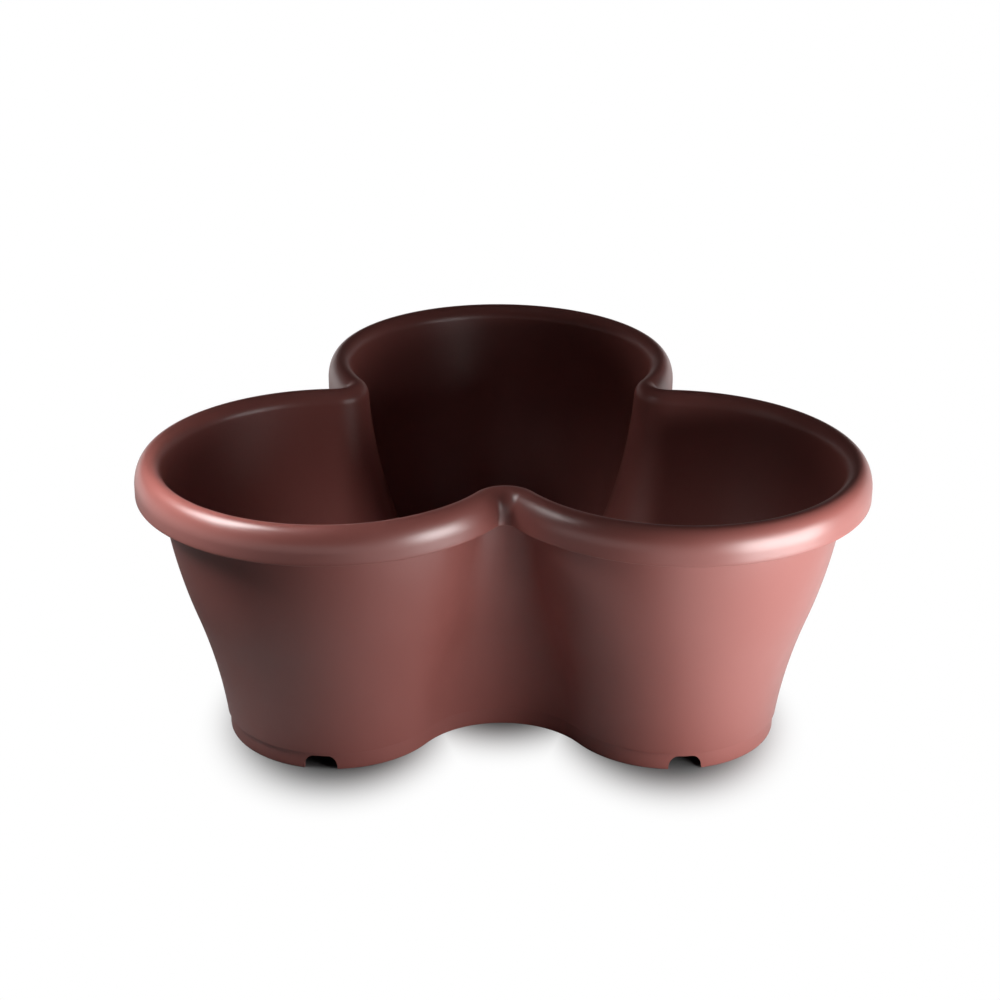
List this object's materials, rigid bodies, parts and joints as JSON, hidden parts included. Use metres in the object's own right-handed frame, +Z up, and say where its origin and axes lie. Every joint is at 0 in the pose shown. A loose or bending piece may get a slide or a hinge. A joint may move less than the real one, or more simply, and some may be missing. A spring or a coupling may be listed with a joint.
{
  "type": "plant pot",
  "caption": "Clover-shaped plastic plant pot: round lobes run into each other under a rolled rim, with a notched foot ring, and a lift-out drain grid over a push-in plug in each lobe.",
  "frame": {"origin": "middle of the bounding box, on the ground under the foot ring", "axes": "+Z up, +X to the right across the two front lobes, +Y to the back along the third lobe"},
  "size_m": [0.4, 0.3748, 0.1625],
  "materials": {
    "pot": "satin terracotta brown, moulded",
    "grid": "matte black brown, moulded",
    "plug": "matte dark, soft"
  },
  "bodies": {
    "pot": {"pot_body": "pot"},
    "grid_back": {"drain_grid_back": "grid"},
    "grid_left": {"drain_grid_left": "grid"},
    "grid_right": {"drain_grid_right": "grid"},
    "plug_back": {"drain_plug_back": "plug"},
    "plug_left": {"drain_plug_left": "plug"},
    "plug_right": {"drain_plug_right": "plug"}
  },
  "joints": [
    {"name": "grid_back_lift", "type": "slide", "parent": "pot", "child": "grid_back", "axis": [0, 0, 1], "range_m": [0, 0.14]},
    {"name": "grid_left_lift", "type": "slide", "parent": "pot", "child": "grid_left", "axis": [0, 0, 1], "range_m": [0, 0.14]},
    {"name": "grid_right_lift", "type": "slide", "parent": "pot", "child": "grid_right", "axis": [0, 0, 1], "range_m": [0, 0.14]},
    {"name": "plug_back_lift", "type": "slide", "parent": "pot", "child": "plug_back", "axis": [0, 0, 1], "range_m": [0, 0.007]},
    {"name": "plug_left_lift", "type": "slide", "parent": "pot", "child": "plug_left", "axis": [0, 0, 1], "range_m": [0, 0.007]},
    {"name": "plug_right_lift", "type": "slide", "parent": "pot", "child": "plug_right", "axis": [0, 0, 1], "range_m": [0, 0.007]}
  ]
}
